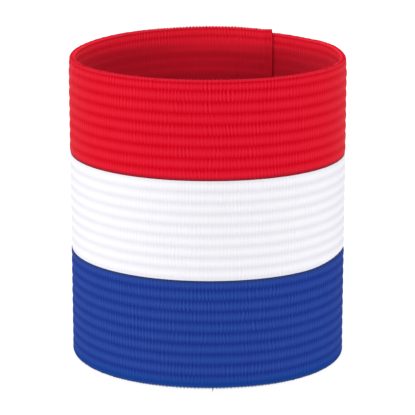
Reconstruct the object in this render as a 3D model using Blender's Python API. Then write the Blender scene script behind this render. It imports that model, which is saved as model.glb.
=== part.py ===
"""Captain armband: a ribbed elastic web in three colours, closed to a loop by a sewn lap.

The loop stands on its lower edge with its axis along +Z. Its front faces -Y and the lap is at the back,
right of the middle. The origin is on the surface that it stands on, under the middle of its box.
The web is split at its two colour borders, so each colour section is a solid of its own.
Units are metres and degrees.
"""

import math

import bpy
import numpy as np
from mathutils import Vector

# Loop and web
BAND_RADIUS = 0.0386
BAND_HEIGHT = 0.0832
WEB_THICKNESS = 0.0016
PIECE_GAP = 0.0003

# Ribs, counted from the top edge to the bottom edge. The first and the last are narrower than the others
RIB_COUNT = 28
TOP_SELVAGE = 0.00064
FIRST_RIB = 0.00218
LAST_RIB = 0.00258
BOTTOM_SELVAGE = 0.00117
OUTER_RELIEF = 0.00025
INNER_RELIEF = 0.00022
EDGE_ROUNDING = 0.0004

# The top edge leans in a little
TOP_LEAN = 0.0003
TOP_LEAN_HEIGHT = 0.0060

# Lap: the inner end lies over the outer end, and a little higher
LAP_LENGTH = 0.0138
LAP_TURN = 30.0
LAP_RISE = 0.0014
LAP_RISE_TURN = 117.0
LAP_EASE_TURN = 34.0

# Facets along the loop
LAP_STEPS = 2
ROUND_STEPS = 32

# Out-of-round of the standing loop: waves round the loop, share of the radius as cosine, as sine
PLAN_WAVES = (
    (2, 0.0211, -0.0108),
    (3, 0.0162, -0.0015),
)

# One rib outside and inside: share of the pitch below the groove, share of the relief
OUTER_RIB = (
    (0.00, 0.0),
    (0.20, 1.0),
    (0.80, 1.0),
)
INNER_RIB = (
    (0.00, 0.0),
    (0.50, 1.0),
)

# Colour sections: name, first rib and last rib from the top (in ribs), colour as linear red, green, blue
STRIPES = (
    ("stripe_red", 0.0, 9.0, (0.693, 0.0045, 0.0212)),
    ("stripe_white", 9.0, 18.1, (0.888, 0.880, 0.915)),
    ("stripe_blue", 18.1, 28.0, (0.0194, 0.0497, 0.2831)),
)
YARN_ROUGHNESS = 0.85

RIB_PITCH = (BAND_HEIGHT - TOP_SELVAGE - FIRST_RIB - LAST_RIB - BOTTOM_SELVAGE) / (RIB_COUNT - 2)


def clear_scene():
    for obj in list(bpy.data.objects):
        bpy.data.objects.remove(obj, do_unlink=True)


def yarn(name, colour):
    """A dyed polyester yarn, matt and without any metal."""
    material = bpy.data.materials.new(name)
    material.use_nodes = True
    shader = material.node_tree.nodes["Principled BSDF"]
    shader.inputs["Base Color"].default_value = (*colour, 1.0)
    shader.inputs["Roughness"].default_value = YARN_ROUGHNESS
    shader.inputs["Metallic"].default_value = 0.0
    return material


def groove_height(rib):
    """Height that lies `rib` ribs below the top selvage, where `rib` may be a fraction."""
    widths = [FIRST_RIB] + [RIB_PITCH] * (RIB_COUNT - 2) + [LAST_RIB]
    depths = np.concatenate(([0.0], np.cumsum(widths)))
    return float(BAND_HEIGHT - TOP_SELVAGE - np.interp(rib, range(RIB_COUNT + 1), depths))


def wall_side(rib_shape, relief):
    """One side of the whole web, bottom to top: heights, and distances from the middle of the wall."""
    groove = WEB_THICKNESS / 2 - relief
    edge = WEB_THICKNESS / 2 - EDGE_ROUNDING
    heights = [BAND_HEIGHT, BAND_HEIGHT - EDGE_ROUNDING]
    reaches = [edge, WEB_THICKNESS / 2]
    for rib in range(RIB_COUNT):
        for share, height_share in rib_shape:
            heights.append(groove_height(rib + share))
            reaches.append(groove + height_share * relief)
    heights += [BOTTOM_SELVAGE, EDGE_ROUNDING, 0.0]
    reaches += [groove, WEB_THICKNESS / 2, edge]
    return np.array(heights[::-1]), np.array(reaches[::-1])


def cut_side(side, low, high):
    """The stretch of a wall side between two heights."""
    heights, reaches = side
    inside = (heights > low) & (heights < high)
    cut_heights = np.concatenate(([low], heights[inside], [high]))
    return cut_heights, np.interp(cut_heights, heights, reaches)


def lean(heights):
    """How far the wall leans in towards the loop's axis near the top edge."""
    above = np.clip((heights - BAND_HEIGHT + TOP_LEAN_HEIGHT) / TOP_LEAN_HEIGHT, 0.0, None)
    return TOP_LEAN * above**2


def stripe_section(low, high):
    """Closed section of a colour section: x across the wall, away from the loop's axis, and y up."""
    outer_heights, outer = cut_side(wall_side(OUTER_RIB, OUTER_RELIEF), low, high)
    inner_heights, inner = cut_side(wall_side(INNER_RIB, INNER_RELIEF), low, high)
    outer_points = zip(outer[::-1] - lean(outer_heights[::-1]), outer_heights[::-1])
    inner_points = zip(-inner - lean(inner_heights), inner_heights)
    return [*outer_points, *inner_points]


def ease(share):
    """A smooth step from 0 to 1."""
    share = min(max(share, 0.0), 1.0)
    return share * share * (3.0 - 2.0 * share)


def turns():
    """Turn of each point of the path from its inner end, in degrees."""
    lap = math.degrees(LAP_LENGTH / BAND_RADIUS)
    inner = np.linspace(0.0, lap, LAP_STEPS + 1)
    middle = np.linspace(lap, 360.0, ROUND_STEPS + 1)
    outer = np.linspace(360.0, 360.0 + lap, LAP_STEPS + 1)
    return lap, [*inner, *middle[1:], *outer[1:]]


def loop_path():
    """Path of the middle of the wall along the bottom edge, from the inner end round to the outer end."""
    lap, path_turns = turns()
    half_step = (WEB_THICKNESS + PIECE_GAP) / 2
    points = []
    for turn in path_turns:
        angle = math.radians(LAP_TURN - turn)
        waves = sum(c * math.cos(n * angle) + s * math.sin(n * angle) for n, c, s in PLAN_WAVES)
        inward = half_step * (1.0 - ease((turn - lap) / LAP_EASE_TURN))
        outward = half_step * ease((turn - 360.0 + LAP_EASE_TURN) / LAP_EASE_TURN)
        radius = (BAND_RADIUS - WEB_THICKNESS / 2) * (1.0 + waves) - inward + outward
        rise = LAP_RISE * max(0.0, 1.0 - turn / LAP_RISE_TURN)
        points.append(Vector((radius * math.sin(angle), radius * math.cos(angle), rise)))
    return points


def plan_centre(path):
    """Middle of the loop's box seen from above."""
    outer = [point + WEB_THICKNESS / 2 * Vector((point.x, point.y, 0.0)).normalized() for point in path]
    across = [point.x for point in outer]
    along = [point.y for point in outer]
    return Vector(((min(across) + max(across)) / 2, (min(along) + max(along)) / 2, 0.0))


def poly_curve(name, points, dimensions, closed):
    """A curve object through the points, with straight stretches between them."""
    curve = bpy.data.curves.new(name, "CURVE")
    curve.dimensions = dimensions
    spline = curve.splines.new("POLY")
    spline.points.add(len(points) - 1)
    for spline_point, point in zip(spline.points, points):
        spline_point.co = (*point, 1.0)
    spline.use_cyclic_u = closed
    return bpy.data.objects.new(name, curve)


def section_guide(name, low, high, collection):
    """The closed section as a guide curve, which the wall is swept from."""
    points = [(across, up, 0.0) for across, up in stripe_section(low, high)]
    guide = poly_curve(name + "_section", points, "2D", True)
    guide.data.fill_mode = "NONE"
    guide.hide_render = True
    guide.display_type = "WIRE"
    collection.objects.link(guide)
    return guide


def stripe(name, low, high, path, colour, band, guides):
    """One colour section: its section swept along the loop's path, closed at both cut ends."""
    sweep = poly_curve(name, path, "3D", False)
    sweep.data.twist_mode = "Z_UP"
    sweep.data.bevel_mode = "OBJECT"
    sweep.data.bevel_object = section_guide(name, low, high, guides)
    sweep.data.use_fill_caps = True
    sweep.data.materials.append(yarn(name.replace("stripe_", "") + "_yarn", colour))
    for spline in sweep.data.splines:
        spline.use_smooth = True
    band.objects.link(sweep)
    return sweep


def build_band():
    clear_scene()
    band = bpy.data.collections.new("captain_armband")
    guides = bpy.data.collections.new("section_guides")
    bpy.context.scene.collection.children.link(band)
    bpy.context.scene.collection.children.link(guides)
    path = loop_path()
    frame = bpy.data.objects.new("armband_frame", None)
    frame.location = -plan_centre(path)
    band.objects.link(frame)
    for name, first_rib, last_rib, colour in STRIPES:
        high = BAND_HEIGHT if first_rib == 0 else groove_height(first_rib) - PIECE_GAP / 2
        low = 0.0 if last_rib == RIB_COUNT else groove_height(last_rib) + PIECE_GAP / 2
        piece = stripe(name, low, high, path, colour, band, guides)
        piece.parent = frame


build_band()
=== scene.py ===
# Captain armband: ribbed elastic web in three colours, standing on its lower edge.
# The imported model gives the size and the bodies, and this script gives the looks.
# Units are metres and degrees.
import math

import bpy
import numpy as np
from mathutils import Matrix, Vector


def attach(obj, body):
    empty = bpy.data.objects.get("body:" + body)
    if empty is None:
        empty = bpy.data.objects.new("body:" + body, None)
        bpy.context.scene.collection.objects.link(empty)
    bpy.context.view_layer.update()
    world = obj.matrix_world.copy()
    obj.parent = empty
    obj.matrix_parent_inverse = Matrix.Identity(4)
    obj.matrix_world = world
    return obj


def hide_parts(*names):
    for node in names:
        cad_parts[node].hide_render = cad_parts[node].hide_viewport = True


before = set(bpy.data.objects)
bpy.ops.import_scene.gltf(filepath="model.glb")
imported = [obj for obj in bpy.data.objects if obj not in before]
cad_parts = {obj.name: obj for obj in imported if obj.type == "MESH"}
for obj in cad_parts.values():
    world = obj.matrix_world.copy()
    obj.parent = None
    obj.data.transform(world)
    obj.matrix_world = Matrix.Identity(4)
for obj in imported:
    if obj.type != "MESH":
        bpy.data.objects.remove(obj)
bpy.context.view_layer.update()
print("frame loaded:", sorted(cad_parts))


# the loop as it stands, with the path that the solids follow
loop = {
    "radius": 0.0386,
    "height": 0.0832,
    "thickness": 0.0016,
    "layerGap": 0.0003,
    "lapLength": 0.0138,
    "lapTurn": 30.0,
    "lapRise": 0.0014,
    "lapRiseTurn": 117.0,
    "lapEaseTurn": 34.0,
    "waves": ((2, 0.0211, -0.0108), (3, 0.0162, -0.0015)),  # waves, cosine share, sine share
    "topLean": 0.0003,
    "topLeanHeight": 0.0060,
}


def smoothStep(share):
    share = np.clip(share, 0.0, 1.0)
    return share * share * (3.0 - 2.0 * share)


def pathAt(turns):
    # middle of the wall at the bottom edge, from the inner end of the lap round to the outer end
    lap = math.degrees(loop["lapLength"] / loop["radius"])
    halfStep = (loop["thickness"] + loop["layerGap"]) / 2
    angle = np.radians(loop["lapTurn"] - turns)
    waves = sum(c * np.cos(n * angle) + s * np.sin(n * angle) for n, c, s in loop["waves"])
    inward = halfStep * (1.0 - smoothStep((turns - lap) / loop["lapEaseTurn"]))
    outward = halfStep * smoothStep((turns - 360.0 + loop["lapEaseTurn"]) / loop["lapEaseTurn"])
    radius = (loop["radius"] - loop["thickness"] / 2) * (1.0 + waves) - inward + outward
    rise = loop["lapRise"] * np.clip(1.0 - turns / loop["lapRiseTurn"], 0.0, None)
    return np.column_stack([radius * np.sin(angle), radius * np.cos(angle), rise])


def finePath(steps=7200):
    # a dense path, its outward directions and the arc length at each point, set on the middle of its box
    turns = np.linspace(0.0, 360.0 + math.degrees(loop["lapLength"] / loop["radius"]), steps + 1)
    points = pathAt(turns)
    run = np.gradient(points[:, :2], axis=0)
    run /= np.linalg.norm(run, axis=1)[:, None]
    outward = np.column_stack([run[:, 1], -run[:, 0]])
    outline = points[:, :2] + outward * loop["thickness"] / 2
    points[:, :2] -= (outline.min(axis=0) + outline.max(axis=0)) / 2
    arc = np.concatenate([[0.0], np.cumsum(np.linalg.norm(np.diff(points[:, :2], axis=0), axis=1))])
    return points, outward, arc


pathPoints, pathOutward, pathArc = finePath()
webLength = float(pathArc[-1])


def placeAt(arc):
    # path point and outward direction at a distance from the inner end
    point = np.column_stack([np.interp(arc, pathArc, pathPoints[:, k]) for k in range(3)])
    outward = np.column_stack([np.interp(arc, pathArc, pathOutward[:, k]) for k in range(2)])
    return point, outward / np.linalg.norm(outward, axis=1)[:, None]


def leanAt(height):
    above = np.clip((height - loop["height"] + loop["topLeanHeight"]) / loop["topLeanHeight"], 0.0, None)
    return loop["topLean"] * above**2


# ribs run along the loop and weft yarns run up it
weave = {
    "ribs": 28,
    "topSelvage": 0.00064,
    "firstRib": 0.00218,
    "lastRib": 0.00258,
    "bottomSelvage": 0.00117,
    "outerRelief": 0.00021,
    "innerRelief": 0.00022,
    "ridgeCrown": 1.5,       # below 1 widens the ridges, above 1 widens the grooves
    "edgeRounding": 0.00042,
    "weftPitch": 0.000955,
    "columnsPerWeft": 4,
    "outerRows": 5,          # rows of faces for each rib
    "innerRows": 3,
    "edgeRow": 0.25,         # a row between the edge and its rounding, as a share of the rounding
    "footRow": 0.55,         # a row on the bottom selvage, as a share of it
    "rowsApart": 0.00001,    # rows nearer to each other than this are one
    "sharpAngle": 62.0,
    "yarnRelief": 0.000045,
    "yarnWander": 0.26,      # in wefts
    "yarnSlant": 0.45,       # in wefts, across one rib
    "ridgeSwell": 0.55,      # swell of a weft yarn on a ridge, and how much it gains on the flanks
    "flankSwell": 1.8,
    "ridgeTone": 0.45,       # the same for its painted sheen and shade
    "flankTone": 2.2,
    "yarnStrength": (0.1, 1.5),        # uneven from yarn to yarn
    "patchStrength": (0.55, 1.35),     # uneven from patch to patch along the web
    "strengthPatches": 70,
    "wanderPatches": 90,
    "slantPatches": 60,
    "insideShift": 60.0,     # in ribs, so that the pattern of the inner side isn't that of the outer
    "topNotch": 0.00038,     # depth of the notches between the weft turns, at the back
    "frontNotch": 0.6,       # share of that depth that is left at the front
    "frontTurn": 90.0,       # degrees from the back where the front begins
    "bottomNotch": 0.00054,
    "notchReach": 0.0012,
    "crestDrop": 0.28,       # the web between the notches stays this share below the weft turns
    "topEdgeShade": 0.12,    # painted shade: both edges are darker, the bottom one more so
    "backEdgeShade": 0.60,   # more painted shade on the top edge at the back
    "bottomEdgeShade": 0.85,
    "bottomShadeReach": 0.00085,
    "innerPlain": 0.25,      # the inner side keeps this share of its painted groove shade and weft sheen and shade below the top
    "plainFrom": 0.0030,
    "plainReach": 0.0034,
    "deepShade": 0.36,       # painted shade: the inner side darkens on the way down
    "deepFrom": 0.0118,
    "deepReach": 0.0040,
    "sideShade": 0.20,       # painted shade: the inner side is darker towards the sides than at the back
    "sideReach": 42.0,       # degrees from the back
    "sideTopShare": 0.25,    # share of that painted shade near the top edge
    "sideFrom": 0.0024,      # below this depth it darkens to the full painted shade
    "sideFade": 0.0032,
    "tightReach": 0.0080,    # the wefts' painted sheen and shade are stronger where they are drawn tight, near the top edge
    "tightShare": 0.9,
    "seed": 11,
}
# both cut ends are thinned, and pressed against the other layer by the seam
lapEnds = {
    "taper": 0.0024,
    "thickness": 0.28,       # share of the thickness that is left at the cut
    "press": 0.00021,
    "pressLength": 0.0050,
    "smoothLength": 0.0040,  # no notches this close to a cut
}
ribPitch = (
    loop["height"] - weave["topSelvage"] - weave["firstRib"] - weave["lastRib"] - weave["bottomSelvage"]
) / (weave["ribs"] - 2)
ribWidths = [weave["firstRib"]] + [ribPitch] * (weave["ribs"] - 2) + [weave["lastRib"]]
grooveHeights = loop["height"] - weave["topSelvage"] - np.concatenate([[0.0], np.cumsum(ribWidths)])
weftCount = round(webLength / weave["weftPitch"])
weftPitch = webLength / weftCount
columnArcs = np.linspace(0.0, webLength, weftCount * weave["columnsPerWeft"] + 1)


def heightOfRib(rib):
    # a rib number counts from the groove under the top selvage, and may be a fraction
    return np.interp(rib, np.arange(weave["ribs"] + 1), grooveHeights)


def ribOfHeight(height):
    return np.interp(height, grooveHeights[::-1], np.arange(weave["ribs"], -1, -1.0))


def ridgeAt(height):
    # 0 in a groove and 1 on a ridge, and on both selvages
    rib = ribOfHeight(height)
    ridge = np.abs(np.sin(np.pi * rib)) ** weave["ridgeCrown"]
    topBand = np.clip((height - grooveHeights[0]) / (0.5 * weave["topSelvage"]), 0.0, 1.0)
    bottomBand = np.clip((grooveHeights[-1] - height) / (0.5 * weave["bottomSelvage"]), 0.0, 1.0)
    return np.maximum(ridge, np.sin(np.pi / 2 * np.maximum(topBand, bottomBand)))


def reachAt(height, side):
    # half the wall's thickness at a height, outside (side 1) or inside (side -1)
    relief = weave["outerRelief"] if side > 0 else weave["innerRelief"]
    body = loop["thickness"] / 2 - relief * (1.0 - ridgeAt(height))
    rounding = weave["edgeRounding"]
    toEdge = np.clip(np.minimum(height, loop["height"] - height), 0.0, rounding)
    edge = loop["thickness"] / 2 - rounding + np.sqrt(rounding**2 - (rounding - toEdge) ** 2)
    return np.minimum(body, edge)


def toCutFrom(arc):
    return np.minimum(arc, webLength - arc)


def otherLayerFrom(arc):
    # 1 where the other layer of the lap is outside, and -1 where it is inside
    return np.where(arc < webLength / 2, 1.0, -1.0)


def pressAt(arc):
    # how far the seam presses each cut end towards the other layer
    share = 1.0 - smoothStep(toCutFrom(arc) / lapEnds["pressLength"])
    return otherLayerFrom(arc) * lapEnds["press"] * share


def directionOf(point):
    # degrees from the front round by the right, so that the back is at 180
    return np.degrees(np.arctan2(point[:, 0], -point[:, 1])) % 360.0


def fromBackOf(point):
    return np.abs(180.0 - directionOf(point))


def betweenBackAndFront(fromBack, atBack, atFront):
    return atBack + (atFront - atBack) * smoothStep(fromBack / weave["frontTurn"])


# the top edge isn't quite level
topEdge = {
    "lifts": ((110.0, 26.0, 0.00046), (178.0, 22.0, 0.00014)),  # direction, half width, height
    "lapDrop": 0.00024,      # the inner end sinks a little towards its cut
    "lapDropReach": 0.0120,
}


def topLift(point, arc):
    direction = directionOf(point)
    lift = -topEdge["lapDrop"] * (1.0 - smoothStep(arc / topEdge["lapDropReach"]))
    for middle, halfWidth, height in topEdge["lifts"]:
        share = np.clip(np.abs(direction - middle) / halfWidth, 0.0, 1.0)
        lift = lift + height * np.cos(np.pi / 2 * share) ** 2
    return lift


def liftedHeight(point, arc, level):
    # a height with its share of the top edge's lift
    return level + topLift(point, arc)[:, None] * (level / loop["height"]) ** 2


random = np.random.default_rng(weave["seed"])
yarnStrength = random.uniform(*weave["yarnStrength"], (weftCount + 2, weave["ribs"] + 1))
ribWander = random.uniform(-1.0, 1.0, (weave["wanderPatches"], weave["ribs"] + 1))
ribSlant = random.uniform(-1.0, 1.0, (weave["slantPatches"], weave["ribs"] + 1))
ribStrength = random.uniform(*weave["patchStrength"], (weave["strengthPatches"], weave["ribs"] + 1))


def alongWeb(table, weft, row):
    # a value that changes slowly along the web, from a table with a column for each rib
    patch = weft / weftCount * (len(table) - 2)
    low = np.floor(patch).astype(int)
    share = patch - low
    return table[low, row] * (1.0 - share) + table[low + 1, row] * share


def yarnAt(weft, rib):
    # swell of the weft yarns: above 0 on a yarn, below 0 between two, and uneven all over the web
    row = np.clip(np.floor(rib), 0, weave["ribs"]).astype(int)
    low = np.clip(np.floor(weft), 0, weftCount).astype(int)
    share = weft - low
    strength = yarnStrength[low, row] * (1.0 - share) + yarnStrength[low + 1, row] * share
    strength = strength * alongWeb(ribStrength, weft, row)
    shift = weave["yarnWander"] * alongWeb(ribWander, weft, row)
    shift = shift + weave["yarnSlant"] * alongWeb(ribSlant, weft, row) * (rib - row - 0.5)
    return strength * np.cos(2.0 * np.pi * (weft + shift))


# the border between white and blue rises at the front right, where the web was drawn up a little
border = {
    "redWhite": 9.02,        # in ribs
    "whiteBlue": 18.10,
    "liftHeight": 0.00095,
    "liftMiddle": 72.0,      # degrees from the front, towards the right
    "liftHalfWidth": 32.0,
    "shadeRow": 0.00060,     # rows of faces this close to the border hold its dark line
    "rowClear": 0.6,         # no other row is closer to the border than this share of shadeRow
    "shadeReach": 0.00080,   # the dark line fades out over this height
    "shadeFull": 0.25,       # share of that height where it is still full
}


def borderLift(point):
    fromMiddle = np.abs(directionOf(point) - border["liftMiddle"])
    share = np.clip(fromMiddle / border["liftHalfWidth"], 0.0, 1.0)
    return border["liftHeight"] * np.cos(np.pi / 2 * share) ** 2


def rowHeights(high, low, perRib, atTop, atBottom):
    # heights of the rows of faces on one side, from the top down
    marks = np.arange(0.0, weave["ribs"] + 1e-6, 1.0 / perRib)
    inner = heightOfRib(marks)
    clear = border["rowClear"] * border["shadeRow"]
    inner = inner[(inner < high - clear) & (inner > low + clear)]
    rounding = weave["edgeRounding"]
    shade = border["shadeRow"]
    top = [high, high - shade / 2, high - shade]
    foot = [low + shade, low + shade / 2, low]
    if atTop:
        top = [high, high - weave["edgeRow"] * rounding, high - rounding]
    if atBottom:
        foot = [low + rounding, low + weave["edgeRow"] * rounding, low]
        foot = [low + weave["footRow"] * weave["bottomSelvage"], *foot]
    inner = inner[(inner < top[-1] - weave["rowsApart"]) & (inner > foot[0] + weave["rowsApart"])]
    return np.concatenate([top, inner, foot])


def ringRows(high, low, atTop, atBottom):
    # the closed section: down the outer side, then up the inner side
    outer = rowHeights(high, low, weave["outerRows"], atTop, atBottom)
    inner = rowHeights(high, low, weave["innerRows"], atTop, atBottom)[::-1]
    height = np.concatenate([outer, inner])
    side = np.concatenate([np.ones(len(outer)), -np.ones(len(inner))])
    return height, side


def webPoints(height, side):
    # columns of points along the loop, each column a whole ring of the section
    arc = columnArcs
    weft = arc / weftPitch
    point, outward = placeAt(arc)
    lift = borderLift(point)
    near = np.clip(1.0 - np.abs(ribOfHeight(height) - border["whiteBlue"]), 0.0, None)
    level = height[None, :] + lift[:, None] * near[None, :]
    rib = ribOfHeight(level)
    ridge = ridgeAt(level)
    flank = ridge * (1.0 - ridge)
    swell = yarnAt(np.broadcast_to(weft[:, None], level.shape), rib)
    yarn = weave["yarnRelief"] * swell * (weave["ridgeSwell"] + weave["flankSwell"] * flank)
    reach = np.where(side > 0, reachAt(level, 1), reachAt(level, -1)) + yarn - weave["yarnRelief"]
    # the cut ends: thinner on their free side, and pressed towards the other layer
    toCut = toCutFrom(arc)
    taper = lapEnds["thickness"] + (1.0 - lapEnds["thickness"]) * smoothStep(toCut / lapEnds["taper"])
    full = loop["thickness"] / 2
    free = side[None, :] * otherLayerFrom(arc)[:, None] < 0
    reach = np.where(free, (reach + full) * taper[:, None] - full, reach)
    offset = side[None, :] * reach - leanAt(level) + pressAt(arc)[:, None]
    # the notches at both edges
    upper = level > loop["height"] / 2
    atEdge = np.clip(1.0 - np.minimum(level, loop["height"] - level) / weave["notchReach"], 0.0, 1.0)
    notch = weave["crestDrop"] + (1.0 - weave["crestDrop"]) * (0.5 - 0.5 * np.cos(2.0 * np.pi * weft))
    notch = notch * smoothStep(toCut / lapEnds["smoothLength"])
    topNotch = weave["topNotch"] * betweenBackAndFront(fromBackOf(point), 1.0, weave["frontNotch"])
    scallop = np.where(upper, topNotch[:, None], weave["bottomNotch"]) * atEdge * notch[:, None]
    inwards = np.where(upper, -1.0, 1.0)
    place = np.empty((*level.shape, 3))
    place[..., 0] = point[:, None, 0] + outward[:, None, 0] * offset
    place[..., 1] = point[:, None, 1] + outward[:, None, 1] * offset
    place[..., 2] = point[:, None, 2] + liftedHeight(point, arc, level) + inwards * scallop
    # what the yarn materials read: painted sheen on the wefts, painted shade between them and in the
    # grooves
    nearTop = np.clip((level - loop["height"] + weave["tightReach"]) / weave["tightReach"], 0.0, 1.0)
    tone = weave["ridgeTone"] + weave["flankTone"] * flank
    swell = swell * tone * (1.0 + weave["tightShare"] * nearTop)
    plain = smoothStep((loop["height"] - level - weave["plainFrom"]) / weave["plainReach"])
    contrast = np.where(side[None, :] > 0, 1.0, 1.0 - (1.0 - weave["innerPlain"]) * plain)
    swell = swell * contrast
    # painted shade: the grooves take the darker groove colour
    grooveShade = (1.0 - ridge) * contrast
    return place, np.broadcast_to(weft[:, None], level.shape), rib, swell, grooveShade


bakeSheet = {
    "strips": 2,             # the web lies in this many strips, one above the other
    "webShare": 0.94,
    "margin": 0.006,
    "endLeft": 0.965,        # the two cut ends lie beside the strips, one above the other
    "endRight": 0.990,
    "endLow": (0.01, 0.51),
    "endTall": 0.47,
}


def bakeCorners(place, side):
    # places on the bake sheet for each corner of each face, in the order of the faces in gridMesh
    columns = len(place)
    section = place[columns // 2]
    lengths = np.linalg.norm(np.roll(section, -1, axis=0) - section, axis=1)
    alongSection = np.concatenate([[0.0], np.cumsum(lengths)]) / lengths.sum()
    perStrip = math.ceil((columns - 1) / bakeSheet["strips"])
    column = np.arange(columns - 1)
    strip = column // perStrip
    margin = bakeSheet["margin"]
    left = margin + bakeSheet["webShare"] * (column - strip * perStrip) / perStrip
    right = left + bakeSheet["webShare"] / perStrip
    low = (strip[:, None] + margin + (1.0 - 2.0 * margin) * alongSection[None, :-1]) / bakeSheet["strips"]
    high = (strip[:, None] + margin + (1.0 - 2.0 * margin) * alongSection[None, 1:]) / bakeSheet["strips"]
    left = np.broadcast_to(left[:, None], low.shape)
    right = np.broadcast_to(right[:, None], low.shape)
    walls = np.stack([left, low, left, high, right, high, right, low], axis=-1).reshape(-1, 2)
    up = (section[:, 2] - section[:, 2].min()) / np.ptp(section[:, 2])
    across = np.where(side > 0, bakeSheet["endRight"], bakeSheet["endLeft"])
    firstEnd, lastEnd = (
        np.column_stack([across, endLow + bakeSheet["endTall"] * up]) for endLow in bakeSheet["endLow"]
    )
    return np.vstack([walls, firstEnd[::-1], lastEnd])


def gridMesh(name, place, weft, rib, side, fields):
    # a tube of faces round the section, closed by one face at each cut end
    columns, rows = place.shape[:2]
    index = np.arange(columns * rows).reshape(columns, rows)
    following = np.roll(index, -1, axis=1)
    faces = np.stack([index[:-1], following[:-1], following[1:], index[1:]], axis=-1).reshape(-1, 4)
    mesh = bpy.data.meshes.new(name)
    mesh.from_pydata(
        place.reshape(-1, 3).tolist(), [], faces.tolist() + [index[0, ::-1].tolist(), index[-1].tolist()]
    )
    layer = mesh.uv_layers.new(name="weave")
    corner = np.empty(len(mesh.loops), dtype=np.int32)
    mesh.loops.foreach_get("vertex_index", corner)
    across = np.where(side > 0, rib, rib + weave["insideShift"]).reshape(-1)
    pattern = np.column_stack([weft.reshape(-1)[corner], across[corner]])
    layer.uv.foreach_set("vector", pattern.astype(np.float32).ravel())
    layer = mesh.uv_layers.new(name="OFBake")
    layer.uv.foreach_set("vector", bakeCorners(place, side).astype(np.float32).ravel())
    for field, values in fields.items():
        attribute = mesh.attributes.new(field, "FLOAT", "POINT")
        values = np.broadcast_to(values, (columns, rows)).astype(np.float32)
        attribute.data.foreach_set("value", values.ravel())
    mesh.shade_smooth()
    mesh.set_sharp_from_angle(angle=math.radians(weave["sharpAngle"]))
    mesh.validate()
    return mesh


def link(name, mesh, material):
    piece = bpy.data.objects.new(name, mesh)
    bpy.context.scene.collection.objects.link(piece)
    mesh.materials.append(material)
    return piece


# nodes of the yarn materials
def addNode(tree, kind, inputs=(), **settings):
    made = tree.nodes.new(kind)
    for name, value in settings.items():
        setattr(made, name, value)
    for slot, value in inputs:
        if isinstance(value, bpy.types.NodeSocket):
            tree.links.new(value, made.inputs[slot])
        else:
            made.inputs[slot].default_value = value
    return made


def maths(tree, operation, *values):
    return addNode(tree, "ShaderNodeMath", enumerate(values), operation=operation).outputs[0]


def colourInput(colour):
    # a colour is a socket, or linear red, green and blue
    return colour if isinstance(colour, bpy.types.NodeSocket) else (*colour, 1.0)


def mixColour(tree, share, first, second, clamped=True):
    inputs = [("Factor", share), (6, colourInput(first)), (7, colourInput(second))]
    return addNode(tree, "ShaderNodeMix", inputs, data_type="RGBA", clamp_factor=clamped).outputs[2]


# the groove colours are darker than the ridge colours: painted shade in the grooves and painted sheen on
# the ridges
yarnFinish = {
    "red": {
        "slot": "red_yarn",
        "ridge": (0.566, 0.0080, 0.0240),
        "groove": (0.480, 0.0003, 0.0080),
        # inside and insideGroove, here and below: lighter than the outer colours, painted light on the
        # inner side
        "inside": (0.890, 0.0170, 0.0405),
        "insideGroove": (0.750, 0.0062, 0.0210),
        # edge, here and below: the dark colour of the painted shade at the edges and on the inner side,
        # and of the dark lines at the colour borders
        "edge": (0.190, 0.0080, 0.0170),
        "selvage": (0.566, 0.0080, 0.0240),
        "swellShare": 0.52,      # how far the wefts move the colour between ridge and groove, as painted sheen on them and painted shade between them
        "sheen": 0.055,
    },
    "white": {
        "slot": "white_yarn",
        "ridge": (0.702, 0.694, 0.730),
        "groove": (0.610, 0.602, 0.642),
        "inside": (0.780, 0.775, 0.800),
        "insideGroove": (0.720, 0.712, 0.745),
        "edge": (0.620, 0.630, 0.700),
        "selvage": (0.702, 0.694, 0.730),
        "swellShare": 0.29,
        "sheen": 0.02,
    },
    "blue": {
        "slot": "blue_yarn",
        "ridge": (0.0170, 0.0480, 0.2500),
        "groove": (0.0080, 0.0260, 0.1950),
        "inside": (0.0240, 0.0620, 0.3150),
        "insideGroove": (0.0120, 0.0350, 0.2450),
        "edge": (0.0180, 0.0320, 0.1150),
        "selvage": (0.0040, 0.0400, 0.2250),
        "swellShare": 0.56,
        "sheen": 0.015,
    },
}
yarnLook = {
    "roughness": 0.76,
    "fibreRoughness": 0.12,  # added where a fibre is high
    "specular": 0.02,
    "sheenRoughness": 0.35,
    "selvageShare": 0.75,
    "patchScale": (0.22, 0.9),         # for each weft and for each rib
    "patchDetail": 2.0,
    "patchShare": 0.30,
    "fibreScale": (7.0, 1.3),
    "fibreDetail": 3.0,
    "fibreShare": 0.16,
    "lightest": -0.35,       # 0 is the ridge colour and 1 the groove colour
    "deepest": 1.25,
    "bumpDepth": 0.00005,
    "bumpStrength": 0.7,
}


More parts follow.
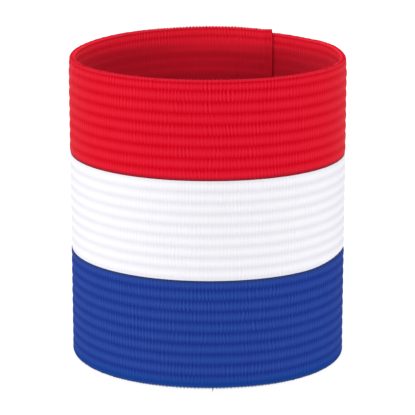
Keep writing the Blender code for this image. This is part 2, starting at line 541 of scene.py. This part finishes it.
def yarnMaterial(name, finish):
    made = bpy.data.materials.new(name)
    made.use_nodes = True
    tree = made.node_tree
    shader = tree.nodes["Principled BSDF"]
    uv = addNode(tree, "ShaderNodeUVMap", uv_map="weave").outputs[0]

    def field(attribute):
        return addNode(tree, "ShaderNodeAttribute", attribute_name=attribute).outputs["Fac"]

    def noise(scale, detail):
        place = addNode(tree, "ShaderNodeMapping", [("Vector", uv), ("Scale", (*scale, 1.0))]).outputs[0]
        inputs = [("Vector", place), ("Scale", 1.0), ("Detail", detail)]
        return addNode(tree, "ShaderNodeTexNoise", inputs).outputs["Fac"]

    fibre = noise(yarnLook["fibreScale"], yarnLook["fibreDetail"])
    patches = noise(yarnLook["patchScale"], yarnLook["patchDetail"])
    # from the ridge colour to the groove colour: painted sheen on ridges and wefts, painted shade in
    # grooves and between wefts
    depth = maths(tree, "MULTIPLY_ADD", field("swell"), -finish["swellShare"], field("grooveShade"))
    for pattern, share in ((patches, yarnLook["patchShare"]), (fibre, yarnLook["fibreShare"])):
        uneven = maths(tree, "SUBTRACT", pattern, 0.5)
        depth = maths(tree, "MULTIPLY_ADD", uneven, share, depth)
    limits = [(0, depth), (1, yarnLook["lightest"]), (2, yarnLook["deepest"])]
    depth = addNode(tree, "ShaderNodeClamp", limits).outputs[0]
    outside = mixColour(tree, depth, finish["ridge"], finish["groove"], clamped=False)
    inside = mixColour(tree, depth, finish["inside"], finish["insideGroove"], clamped=False)
    selvage = maths(tree, "MULTIPLY", field("selvage"), yarnLook["selvageShare"])
    outside = mixColour(tree, selvage, outside, finish["selvage"])
    # painted light: the inner side takes the lighter inside colours
    colour = mixColour(tree, field("inside"), outside, inside)
    # painted shade at the edges and on the inner side, and the dark lines at the colour borders
    colour = mixColour(tree, field("borderShade"), colour, finish["edge"])
    tree.links.new(colour, shader.inputs["Base Color"])

    inputs = [("Height", fibre), ("Distance", yarnLook["bumpDepth"])]
    inputs.append(("Strength", yarnLook["bumpStrength"]))
    bump = addNode(tree, "ShaderNodeBump", inputs).outputs[0]
    tree.links.new(bump, shader.inputs["Normal"])
    rough = maths(tree, "MULTIPLY_ADD", fibre, yarnLook["fibreRoughness"], yarnLook["roughness"])
    tree.links.new(rough, shader.inputs["Roughness"])
    shader.inputs["Specular IOR Level"].default_value = yarnLook["specular"]
    shader.inputs["Sheen Weight"].default_value = finish["sheen"]
    shader.inputs["Sheen Roughness"].default_value = yarnLook["sheenRoughness"]
    return made


yarns = {name: yarnMaterial(name + "Yarn", finish) for name, finish in yarnFinish.items()}
print("materials ready:", ", ".join(yarns))


# the web in its three colours, which meet with no gap
sections = {
    "red": (loop["height"], float(heightOfRib(border["redWhite"]))),
    "white": (float(heightOfRib(border["redWhite"])), float(heightOfRib(border["whiteBlue"]))),
    "blue": (float(heightOfRib(border["whiteBlue"])), 0.0),
}


# painted shade on the top edge, more at the back than at the front
def topEdgeShadeOf(fromBack):
    return betweenBackAndFront(fromBack, weave["backEdgeShade"], weave["topEdgeShade"])


def innerShadeOf(height, fromBack):
    # painted shade on the inner side, far down and towards the sides
    depth = loop["height"] - height
    deep = weave["deepShade"] * smoothStep((depth - weave["deepFrom"]) / weave["deepReach"])
    below = smoothStep((depth - weave["sideFrom"]) / weave["sideFade"])
    sideways = weave["sideShade"] * smoothStep(fromBack / weave["sideReach"])
    sideways = sideways * (weave["sideTopShare"] + (1.0 - weave["sideTopShare"]) * below)
    return 1.0 - (1.0 - deep) * (1.0 - sideways)


def borderShadeOf(name, height, side, high, low):
    # a thin dark line low on the red and high on the blue, and painted shade at both edges and on the
    # inner side
    toEdge = np.minimum(height, loop["height"] - height)
    lower = height < loop["height"] / 2
    point = placeAt(columnArcs)[0]
    fromBack = fromBackOf(point)[:, None]
    share = np.where(lower, weave["bottomEdgeShade"], topEdgeShadeOf(fromBack))
    reach = np.where(lower, weave["bottomShadeReach"], weave["edgeRounding"])
    shade = share * np.clip(1.0 - toEdge / reach, 0.0, 1.0)
    shade = np.where(side > 0, shade, np.maximum(shade, innerShadeOf(height, fromBack)))
    if name == "white":
        return shade
    toBorder = height - low if name == "red" else high - height
    line = np.clip(1.0 + border["shadeFull"] - toBorder / border["shadeReach"], 0.0, 1.0)
    return np.maximum(shade, line)


def selvageOf(height):
    # 1 on the bottom selvage, fading out over the last rib
    return np.clip((grooveHeights[-2] - height) / (grooveHeights[-2] - grooveHeights[-1]), 0.0, 1.0)


def webPiece(name):
    high, low = sections[name]
    height, side = ringRows(high, low, name == "red", name == "blue")
    place, weft, rib, swell, grooveShade = webPoints(height, side)
    fields = {
        "borderShade": borderShadeOf(name, height, side, high, low),
        "swell": swell,
        "grooveShade": grooveShade,
        "inside": np.where(side < 0, 1.0, 0.0),
        "selvage": selvageOf(height),
    }
    mesh = gridMesh("web_" + name, place, weft, rib, side, fields)
    piece = link("web_" + name, mesh, yarns[name])
    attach(piece, "root")
    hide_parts("stripe_" + name)
    return piece


webs = {name: webPiece(name) for name in sections}
print("web woven:", {name: len(piece.data.polygons) for name, piece in webs.items()})


# the weft yarns turn round both edges in small loops
edgeLoops = {
    "yarnRadius": 0.00019,
    "halfWidth": 0.00058,
    "halfHeight": 0.00050,
    "steps": 7,
    "sides": 6,
    "sweep": 100.0,          # degrees to each side of the edge
    "unevenness": 0.00005,
    "topProud": 0.00007,     # the turns at the top edge stand this much over the web
    "cutClear": 0.8,         # no turn is closer to a cut than this share of its smooth length
    "grooveShade": 0.35,
    "swell": 0.5,
    "ribSpan": (0.2, 0.8),   # place of a turn in the yarn's pattern, in ribs
}


def tubeRings(centres, across, up, radius, sides):
    # rings of points round a line, for many lines at once
    turn = np.linspace(0.0, 2.0 * np.pi, sides, endpoint=False)
    return (
        centres[..., None, :]
        + radius * np.cos(turn)[:, None] * across[..., None, :]
        + radius * np.sin(turn)[:, None] * up[..., None, :]
    )


def tubesMesh(name, rings, weft, rib, fields):
    # rings: tubes, steps, sides, 3
    tubes, steps, sides = rings.shape[:3]
    index = np.arange(tubes * steps * sides).reshape(tubes, steps, sides)
    around = np.roll(index, -1, axis=2)
    walls = np.stack([index[:, :-1], around[:, :-1], around[:, 1:], index[:, 1:]], axis=-1).reshape(-1, 4)
    starts = index[:, 0, ::-1].reshape(-1, sides)
    ends = index[:, -1].reshape(-1, sides)
    mesh = bpy.data.meshes.new(name)
    mesh.from_pydata(rings.reshape(-1, 3).tolist(), [], walls.tolist() + starts.tolist() + ends.tolist())
    layer = mesh.uv_layers.new(name="weave")
    corner = np.empty(len(mesh.loops), dtype=np.int32)
    mesh.loops.foreach_get("vertex_index", corner)
    u = np.broadcast_to(weft[:, :, None], (tubes, steps, sides)).reshape(-1)
    v = np.broadcast_to(rib[:, :, None], (tubes, steps, sides)).reshape(-1)
    pattern = np.column_stack([u[corner], v[corner]])
    layer.uv.foreach_set("vector", pattern.astype(np.float32).ravel())
    for field, values in fields.items():
        attribute = mesh.attributes.new(field, "FLOAT", "POINT")
        values = np.broadcast_to(values[:, :, None], (tubes, steps, sides)).astype(np.float32)
        attribute.data.foreach_set("value", values.ravel())
    mesh.shade_smooth()
    mesh.validate()
    return mesh


def edgeLoopPiece(name, edgeHeight, upward):
    rng = np.random.default_rng(weave["seed"] + int(upward))
    weft = np.arange(weftCount) + 1.0
    arc = weft * weftPitch
    weft = weft[toCutFrom(arc) > edgeLoops["cutClear"] * lapEnds["smoothLength"]]
    arc = weft * weftPitch
    turns = len(weft)
    point, outward = placeAt(arc)
    sweep = np.radians(np.linspace(-edgeLoops["sweep"], edgeLoops["sweep"], edgeLoops["steps"]))
    size = 1.0 + edgeLoops["unevenness"] / edgeLoops["halfHeight"] * rng.uniform(-1.0, 1.0, turns)
    offset = edgeLoops["halfWidth"] * np.sin(sweep)[None, :] * size[:, None]
    rise = edgeLoops["halfHeight"] * (np.cos(sweep)[None, :] * size[:, None] - 1.0)
    rise = rise - edgeLoops["yarnRadius"]
    direction = 1.0 if upward else -1.0
    level = edgeHeight + direction * rise
    offset = offset - leanAt(level)
    centre = np.empty((turns, edgeLoops["steps"], 3))
    centre[..., 0] = point[:, None, 0] + outward[:, None, 0] * offset
    centre[..., 1] = point[:, None, 1] + outward[:, None, 1] * offset
    centre[..., 2] = point[:, None, 2] + liftedHeight(point, arc, np.broadcast_to(level, offset.shape))
    run = np.gradient(centre, axis=1)
    run /= np.linalg.norm(run, axis=2)[..., None]
    along = np.broadcast_to(
        np.column_stack([-outward[:, 1], outward[:, 0], np.zeros(turns)])[:, None, :], run.shape
    )
    up = np.cross(run, along)
    rings = tubeRings(centre, along, up, edgeLoops["yarnRadius"], edgeLoops["sides"])
    shape = centre.shape[:2]
    rib = np.broadcast_to(np.linspace(*edgeLoops["ribSpan"], edgeLoops["steps"])[None, :], shape)
    # the turns take the edges' painted shade
    topShade = topEdgeShadeOf(fromBackOf(point))[:, None]
    swell = edgeLoops["swell"] * rng.uniform(-1.0, 1.0, turns)
    fields = {
        "swell": np.broadcast_to(swell[:, None], shape),
        "grooveShade": np.full(shape, edgeLoops["grooveShade"]),
        "borderShade": np.broadcast_to(topShade if upward else weave["bottomEdgeShade"], shape),
        # the inner half of each turn takes the lighter inside colours, with their painted light
        "inside": np.broadcast_to(np.where(sweep < 0.0, 1.0, 0.0)[None, :], shape),
    }
    mesh = tubesMesh("edge_loops_" + name, rings, np.broadcast_to(weft[:, None], shape), rib, fields)
    piece = link("edge_loops_" + name, mesh, yarns[name])
    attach(piece, "root")
    return piece


edgeLoopPiece("red", loop["height"] + edgeLoops["topProud"], True)
edgeLoopPiece("blue", 0.0, False)
print("weft yarns turned round both edges")


# the seam of the lap: two rows of zigzag stitches through both layers, in thread of each colour
lapStitches = {
    "rowsFromCut": (0.0031, 0.0107),   # metres from the inner end
    "halfWidth": 0.0008,
    "rise": 0.00092,         # height of one leg of the zigzag
    "threadRadius": 0.00010,
    "grooveShare": 0.8,      # how far the thread follows the web down into a groove
    "sunk": 0.00006,
    "dip": 0.00020,          # the ends of a leg go into the web
    "steps": 6,
    "sides": 5,
    "edgeClear": 0.0012,
    "unevenness": 0.00012,
    "swell": 0.4,
    "patternLength": 2.0,    # length of a leg in the yarn's pattern, in ribs
    "seed": 4,
}


def lapStitchPiece(name, rng):
    high, low = sections[name]
    high = min(high, loop["height"] - lapStitches["edgeClear"])
    low = max(low, lapStitches["edgeClear"])
    legs = int((high - low) / lapStitches["rise"])
    share = np.linspace(0.0, 1.0, lapStitches["steps"])
    centres = []
    insideOf = []
    shades = []
    for fromCut in lapStitches["rowsFromCut"]:
        outerArc = webLength - loop["lapLength"] + fromCut
        for middle, side in ((fromCut, -1.0), (outerArc, 1.0)):
            number = np.arange(legs)
            swing = np.where(number % 2 == 0, 1.0, -1.0)
            wobble = lapStitches["unevenness"] * rng.uniform(-1.0, 1.0, (2, legs))
            start = middle - swing * lapStitches["halfWidth"] + wobble[0]
            end = middle + swing * lapStitches["halfWidth"] + wobble[1]
            arc = start[:, None] + (end - start)[:, None] * share[None, :]
            height = low + lapStitches["rise"] * (number[:, None] + share[None, :])
            point, outward = placeAt(arc.ravel())
            relief = weave["outerRelief"] if side > 0 else weave["innerRelief"]
            reach = loop["thickness"] / 2 - lapStitches["grooveShare"] * relief * (1.0 - ridgeAt(height))
            nearEnd = np.abs(2.0 * share[None, :] - 1.0) ** 3
            reach = reach - lapStitches["sunk"] - lapStitches["dip"] * nearEnd
            offset = (side * reach - leanAt(height) + pressAt(arc)).ravel()
            lifted = liftedHeight(point, arc.ravel(), height.reshape(-1, 1))[:, 0]
            centre = np.column_stack([point[:, :2] + outward * offset[:, None], point[:, 2] + lifted])
            centres.append(centre.reshape(legs, -1, 3))
            # the stitches on the inner side take its painted light and painted shade
            inner = 0.5 - 0.5 * side
            insideOf.append(np.full(legs, inner))
            shades.append(inner * innerShadeOf(height, fromBackOf(point).reshape(legs, -1)))
    centre = np.concatenate(centres)
    run = np.gradient(centre, axis=1)
    run /= np.linalg.norm(run, axis=2)[..., None]
    away = centre * (1.0, 1.0, 0.0)
    away /= np.linalg.norm(away, axis=2)[..., None]
    across = np.cross(away, run)
    across /= np.linalg.norm(across, axis=2)[..., None]
    up = np.cross(run, across)
    rings = tubeRings(centre, across, up, lapStitches["threadRadius"], lapStitches["sides"])
    shape = centre.shape[:2]
    swell = lapStitches["swell"] * rng.uniform(-1.0, 1.0, len(centre))
    fields = {
        "swell": np.broadcast_to(swell[:, None], shape),
        "grooveShade": np.full(shape, 0.0),
        "borderShade": np.concatenate(shades),
        "inside": np.broadcast_to(np.concatenate(insideOf)[:, None], shape),
    }
    weft = np.broadcast_to(rng.uniform(0.0, weftCount, len(centre))[:, None], shape)
    rib = np.broadcast_to(lapStitches["patternLength"] * share[None, :], shape)
    mesh = tubesMesh("lap_stitches_" + name, rings, weft, rib, fields)
    piece = link("lap_stitches_" + name, mesh, yarns[name])
    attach(piece, "root")
    return piece


stitchRandom = np.random.default_rng(lapStitches["seed"])
stitchPieces = [lapStitchPiece(name, stitchRandom) for name in sections]
print("lap sewn:", len(stitchPieces), "pieces of thread")


# one thread end has worked loose at the bottom edge, and lies before the web
looseThread = {
    "fromMiddle": 0.0011,    # metres to the right of the front's middle
    "reach": 0.0016,
    "sideways": 0.0003,
    "bend": 2.5,             # radians of a sine wave along it
    "sunk": 0.0003,          # how deep it starts in the web
    "lift": 0.0005,          # height of its start over the floor
    "radius": 0.00009,
    "clear": 0.2,            # it lies this share of its radius clear of the floor
    "steps": 9,
    "sides": 6,
    "grooveShade": 0.6,
    "shade": 0.4,
}


def looseThreadPiece():
    share = np.linspace(0.0, 1.0, looseThread["steps"])
    front = np.argmin(pathPoints[:, 1])
    eighth = len(pathPoints) // 8
    nearby = slice(front - eighth, front + eighth)
    start = np.interp(looseThread["fromMiddle"], pathPoints[nearby, 0], pathPoints[nearby, 1])
    start = start - loop["thickness"] / 2 + looseThread["sunk"]
    centre = np.empty((1, looseThread["steps"], 3))
    onFloor = (1.0 + looseThread["clear"]) * looseThread["radius"]
    sideways = looseThread["sideways"] * np.sin(looseThread["bend"] * share)
    centre[0, :, 0] = looseThread["fromMiddle"] + sideways
    centre[0, :, 1] = start - looseThread["reach"] * share
    centre[0, :, 2] = onFloor + looseThread["lift"] * (1.0 - share) ** 2
    run = np.gradient(centre, axis=1)
    run /= np.linalg.norm(run, axis=2)[..., None]
    across = np.cross(run, np.array([0.0, 0.0, 1.0]))
    across /= np.linalg.norm(across, axis=2)[..., None]
    rings = tubeRings(centre, across, np.cross(run, across), looseThread["radius"], looseThread["sides"])
    shape = centre.shape[:2]
    fields = {
        "grooveShade": np.full(shape, looseThread["grooveShade"]),
        "borderShade": np.full(shape, looseThread["shade"]),
    }
    mesh = tubesMesh("loose_thread", rings, np.zeros(shape), np.zeros(shape), fields)
    piece = link("loose_thread", mesh, yarns["blue"])
    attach(piece, "root")
    return piece


looseThreadPiece()
print("loose thread laid")


# floor, light and camera
studio = {
    "floorSize": 6.0,
    "floorColour": (0.30, 0.30, 0.30),
    "floorRoughness": 0.9,
    "floorGlow": 0.80,       # the floor is a lit table, which keeps the shadow faint
    "worldColour": (1.0, 1.0, 1.0),
    "worldStrength": 0.45,
    "boxDistance": 1.5,
    "boxes": (               # name, degrees from the front to the right, height, width, tall, power
        ("leftBox", -75.0, 0.17, 1.2, 0.34, 12.1),
        ("rightBox", 75.0, 0.12, 1.2, 0.24, 8.7),
        ("frontStrip", 0.0, 0.190, 1.4, 0.06, 6.3),
    ),
    "overheadStrength": 2.2,
    "overheadAngle": 40.0,
}


def buildStudio():
    bpy.ops.object.select_all(action="DESELECT")
    bpy.ops.mesh.primitive_plane_add(size=studio["floorSize"], location=(0.0, 0.0, 0.0))
    floor = bpy.context.object
    floor.name = "floor"
    paper = bpy.data.materials.new("paleFloor")
    paper.use_nodes = True
    shader = paper.node_tree.nodes["Principled BSDF"]
    shader.inputs["Base Color"].default_value = (*studio["floorColour"], 1.0)
    shader.inputs["Roughness"].default_value = studio["floorRoughness"]
    shader.inputs["Specular IOR Level"].default_value = 0.0
    shader.inputs["Emission Color"].default_value = (1.0, 1.0, 1.0, 1.0)
    shader.inputs["Emission Strength"].default_value = studio["floorGlow"]
    floor.data.materials.append(paper)
    world = bpy.data.worlds.new("studioWorld")
    world.use_nodes = True
    background = world.node_tree.nodes["Background"]
    background.inputs["Color"].default_value = (*studio["worldColour"], 1.0)
    background.inputs["Strength"].default_value = studio["worldStrength"]
    bpy.context.scene.world = world
    for name, turn, height, width, tall, power in studio["boxes"]:
        data = bpy.data.lights.new(name, "AREA")
        data.shape = "RECTANGLE"
        data.size = width
        data.size_y = tall
        data.energy = power
        light = bpy.data.objects.new(name, data)
        bpy.context.scene.collection.objects.link(light)
        across = math.radians(turn)
        distance = studio["boxDistance"]
        light.location = (distance * math.sin(across), -distance * math.cos(across), height)
        aim = Vector((0.0, 0.0, loop["height"] / 2)) - light.location
        light.rotation_euler = aim.to_track_quat("-Z", "Y").to_euler()
    data = bpy.data.lights.new("overhead", "SUN")
    data.energy = studio["overheadStrength"]
    data.angle = math.radians(studio["overheadAngle"])
    bpy.context.scene.collection.objects.link(bpy.data.objects.new("overhead", data))
    bpy.context.scene.view_settings.view_transform = "Standard"


photoCamera = {
    "place": (0.0, -0.54266, 0.18156),
    "pitchDown": 14.666,
    "lens": 174.78,
    "sensor": 36.0,
}


def buildCamera():
    data = bpy.data.cameras.new("photoCamera")
    data.lens = photoCamera["lens"]
    data.sensor_width = photoCamera["sensor"]
    camera = bpy.data.objects.new("photoCamera", data)
    bpy.context.scene.collection.objects.link(camera)
    camera.location = photoCamera["place"]
    camera.rotation_euler = (math.radians(90.0 - photoCamera["pitchDown"]), 0.0, 0.0)
    bpy.context.scene.camera = camera


buildStudio()
buildCamera()
print("studio and camera set")
